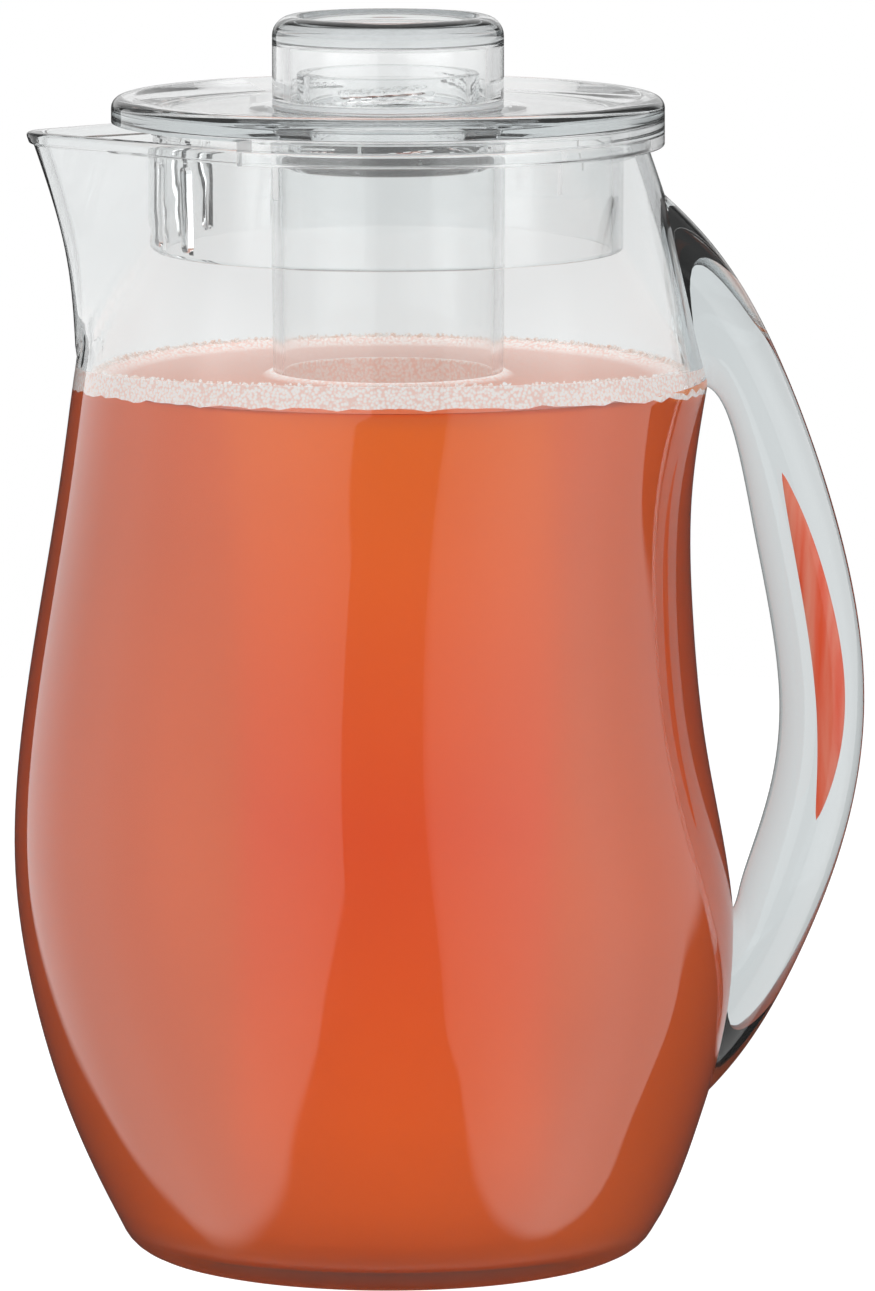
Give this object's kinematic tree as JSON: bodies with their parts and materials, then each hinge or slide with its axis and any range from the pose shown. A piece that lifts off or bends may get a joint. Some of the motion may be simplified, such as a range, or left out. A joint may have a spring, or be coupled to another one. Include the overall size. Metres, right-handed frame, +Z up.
{
  "type": "water pitcher",
  "caption": "Clear pitcher with a swelling belly, cone neck, pouring spout, solid side handle, lift-off strainer lid, screw knob cap and an ice tube that screws under the lid.",
  "frame": {"origin": "centre of the flat base, on the surface that the pitcher stands on", "axes": "+Z up; +X towards the handle, -X towards the spout; +Y to the back as seen with the handle on the right"},
  "size_m": [0.192, 0.1618, 0.28],
  "materials": {
    "jug_plastic": "clear, polished moulded plastic",
    "handle_plastic": "clear, polished, thick solid plastic",
    "lid_plastic": "clear, polished moulded plastic",
    "tube_plastic": "clear, polished moulded plastic",
    "seal": "translucent soft silicone",
    "drink": "clear orange-red drink, shown only in the visual model"
  },
  "bodies": {
    "jug": {"jug_body": "jug_plastic", "handle": "handle_plastic"},
    "lid": {"lid": "lid_plastic"},
    "knob_seal": {"knob_seal": "seal"},
    "knob_cap": {"knob_cap": "lid_plastic"},
    "tube_seal": {"tube_seal": "seal"},
    "ice_tube": {"ice_tube": "tube_plastic"}
  },
  "joints": [
    {"name": "lid_lift", "type": "slide", "parent": "jug", "child": "lid", "axis": [0, 0, 1], "range_m": [0, 0.24]},
    {"name": "knob_rise", "type": "slide", "parent": "lid", "child": "knob_seal", "axis": [0, 0, 1], "range_m": [0, 0.00601]},
    {"name": "knob_turn", "type": "hinge", "parent": "knob_seal", "child": "knob_cap", "pos_m": [0, 0, 0.27], "axis": [0, 0, 1], "range_deg": [0, 240]},
    {"name": "tube_drop", "type": "slide", "parent": "lid", "child": "tube_seal", "axis": [0, 0, -1], "range_m": [0, 0.00901]},
    {"name": "tube_turn", "type": "hinge", "parent": "tube_seal", "child": "ice_tube", "pos_m": [0, 0, 0.25], "axis": [0, 0, -1], "range_deg": [0, 270]}
  ],
  "couplings": [
    {"joint": "knob_rise", "follows": "knob_turn", "m_per_rad": 0.0014324},
    {"joint": "tube_drop", "follows": "tube_turn", "m_per_rad": 0.0019099}
  ]
}
